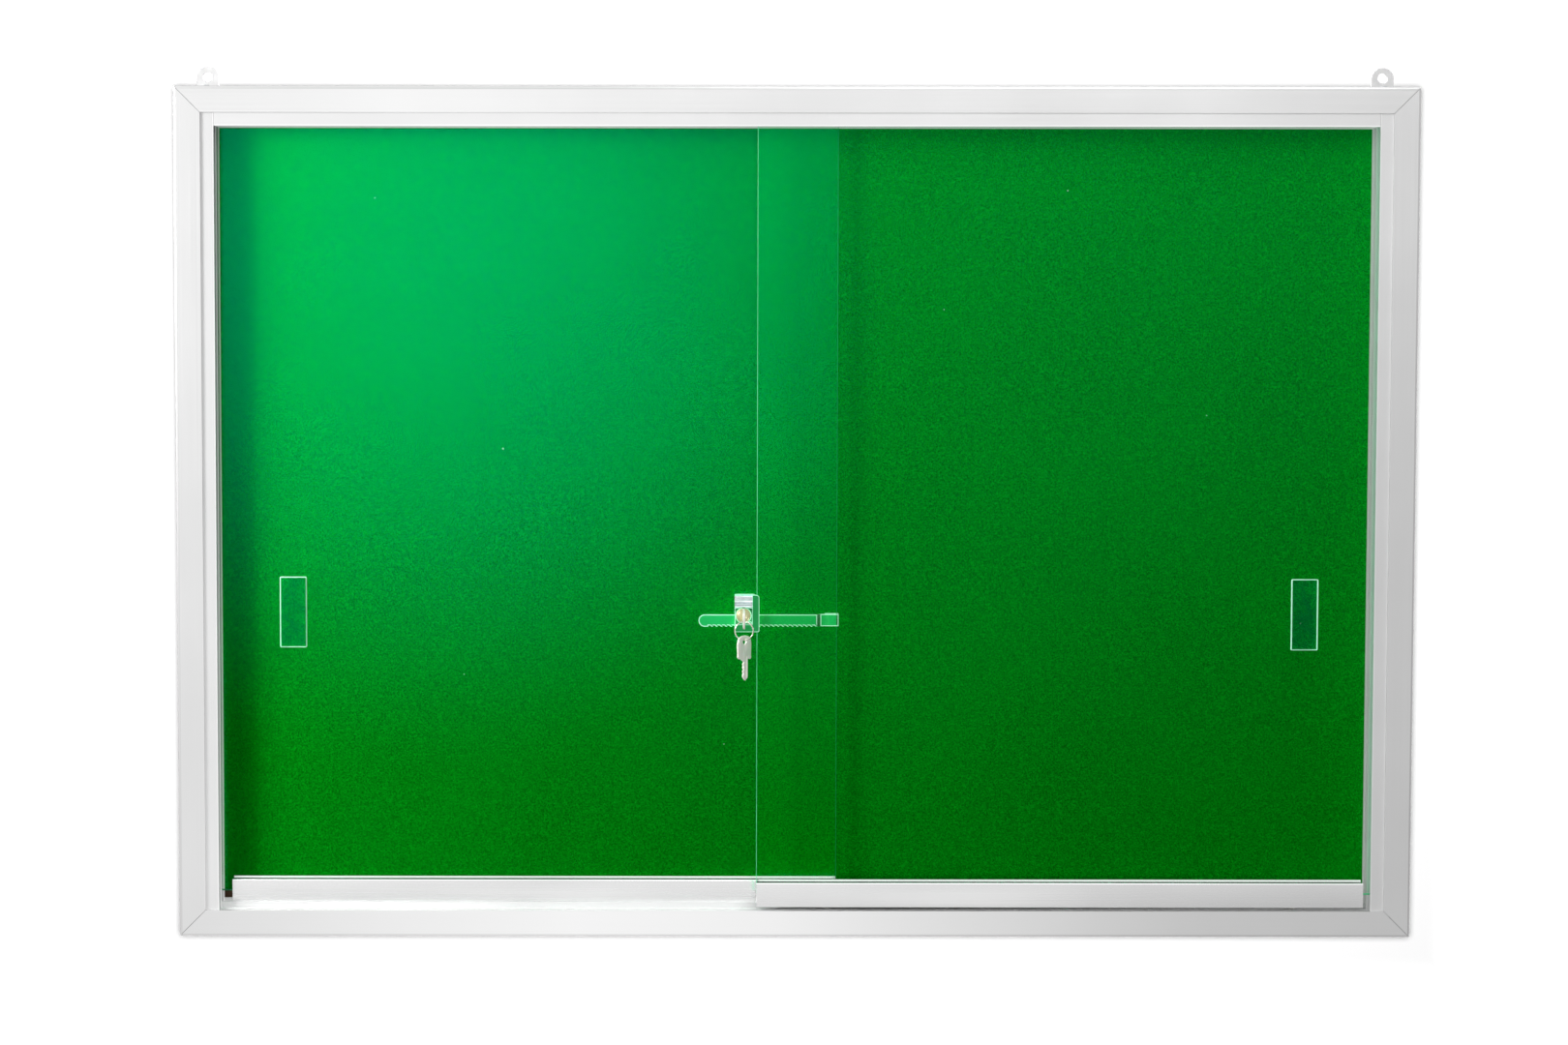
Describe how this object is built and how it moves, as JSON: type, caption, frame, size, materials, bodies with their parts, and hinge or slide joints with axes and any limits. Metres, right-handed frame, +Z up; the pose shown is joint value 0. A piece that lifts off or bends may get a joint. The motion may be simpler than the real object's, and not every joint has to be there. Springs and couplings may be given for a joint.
{
  "type": "lockable notice board",
  "caption": "Wall-hung notice board: green felt pinboard in an aluminium frame behind overlapping sliding glass doors held shut by a keyed ratchet lock.",
  "frame": {"origin": "middle of the top rail's rear face, on the wall plane", "axes": "+X to the right of someone reading the board, +Y into the wall, +Z up"},
  "size_m": [1.22, 0.0818, 0.8626],
  "materials": {
    "anodised": "satin anodised",
    "inner_strip": "satin anodised, lighter",
    "felt": "fine green felt",
    "fibreboard": "soft wood-fibre pinboard",
    "hardboard": "brown hardboard",
    "glass": "clear float glass with polished edges",
    "acrylic": "clear plastic with polished edges",
    "gasket": "grey glazing rubber",
    "nylon": "natural nylon",
    "steel": "zinc-plated steel",
    "lock_chrome": "polished chrome plate",
    "brass": "pale brass",
    "key_nickel": "nickel-plated",
    "enamel": "frosted white coating",
    "cast_alloy": "bare die-cast"
  },
  "bodies": {
    "frame": {"top_rail": "anodised", "bottom_rail": "anodised", "left_stile": "anodised", "right_stile": "anodised", "corner_cleat_top_left": "cast_alloy", "corner_cleat_top_right": "cast_alloy", "corner_cleat_bottom_left": "cast_alloy", "corner_cleat_bottom_right": "cast_alloy", "back_panel": "hardboard", "soft_board": "fibreboard", "felt_cover": "felt", "left_channel": "inner_strip", "right_channel": "inner_strip", "top_track": "inner_strip", "bottom_track": "inner_strip", "channel_screw_left_top": "steel", "channel_screw_left_bottom": "steel", "channel_screw_right_top": "steel", "channel_screw_right_bottom": "steel", "hanger_left": "enamel", "hanger_right": "enamel", "hanger_screw_left": "steel", "hanger_screw_right": "steel"},
    "rear_door": {"rear_glass": "glass", "rear_shoe": "anodised", "rear_gasket": "gasket", "rear_axle_left": "steel", "rear_axle_right": "steel", "rear_finger_pull": "acrylic", "lock_bar": "lock_chrome"},
    "front_door": {"front_glass": "glass", "front_shoe": "anodised", "front_gasket": "gasket", "front_axle_left": "steel", "front_axle_right": "steel", "front_finger_pull": "acrylic"},
    "rear_roller_left": {"rear_roller_left": "nylon"},
    "rear_roller_right": {"rear_roller_right": "nylon"},
    "front_roller_left": {"front_roller_left": "nylon"},
    "front_roller_right": {"front_roller_right": "nylon"},
    "lock": {"lock_housing": "lock_chrome", "lock_barrel": "brass", "pawl_spring": "steel", "lock_screw": "steel", "lock_rivet": "steel"},
    "key": {"lock_plug": "brass", "inserted_key": "key_nickel"},
    "pawl": {"lock_pawl": "steel"},
    "key_ring": {"key_ring": "key_nickel"},
    "spare_key": {"spare_key": "key_nickel"}
  },
  "joints": [
    {"name": "rear_door_slide", "type": "slide", "parent": "frame", "child": "rear_door", "axis": [1, 0, 0], "range_m": [-0.0047, 0.525]},
    {"name": "front_door_slide", "type": "slide", "parent": "frame", "child": "front_door", "axis": [1, 0, 0], "range_m": [-0.445, 0]},
    {"name": "lock_slide", "type": "slide", "parent": "front_door", "child": "lock", "axis": [1, 0, 0], "range_m": [-0.06, 0]},
    {"name": "key_turn", "type": "hinge", "parent": "lock", "child": "key", "pos_m": [-0.0515, -0.05, -0.506], "axis": [0, 1, 0], "range_deg": [0, 90]},
    {"name": "pawl_lift", "type": "slide", "parent": "lock", "child": "pawl", "axis": [0, 0, 1], "range_m": [0, 0.0016], "deforming": ["pawl_spring"]},
    {"name": "ring_swing", "type": "hinge", "parent": "key", "child": "key_ring", "pos_m": [-0.0515, -0.07465, -0.50865], "axis": [1, 0, 0], "range_deg": [-80, 15]},
    {"name": "spare_key_swing", "type": "hinge", "parent": "key_ring", "child": "spare_key", "pos_m": [-0.0515, -0.07465, -0.52655], "axis": [1, 0, 0], "range_deg": [-20, 15]},
    {"name": "rear_roller_left_spin", "type": "hinge", "parent": "rear_door", "child": "rear_roller_left", "pos_m": [-0.4905, -0.02318, -0.7945], "axis": [0, 1, 0], "range_deg": [-60, 5100]},
    {"name": "rear_roller_right_spin", "type": "hinge", "parent": "rear_door", "child": "rear_roller_right", "pos_m": [-0.028, -0.02318, -0.7945], "axis": [0, 1, 0], "range_deg": [-60, 5100]},
    {"name": "front_roller_left_spin", "type": "hinge", "parent": "front_door", "child": "front_roller_left", "pos_m": [0.032, -0.03533, -0.7945], "axis": [0, 1, 0], "range_deg": [-4400, 60]},
    {"name": "front_roller_right_spin", "type": "hinge", "parent": "front_door", "child": "front_roller_right", "pos_m": [0.4945, -0.03533, -0.7945], "axis": [0, 1, 0], "range_deg": [-4400, 60]}
  ],
  "couplings": [
    {"joint": "pawl_lift", "follows": "key_turn", "m_per_rad": 0.0010186},
    {"joint": "rear_roller_left_spin", "follows": "rear_door_slide", "rad_per_m": 166.67},
    {"joint": "rear_roller_right_spin", "follows": "rear_door_slide", "rad_per_m": 166.67},
    {"joint": "front_roller_left_spin", "follows": "front_door_slide", "rad_per_m": 166.67},
    {"joint": "front_roller_right_spin", "follows": "front_door_slide", "rad_per_m": 166.67}
  ]
}
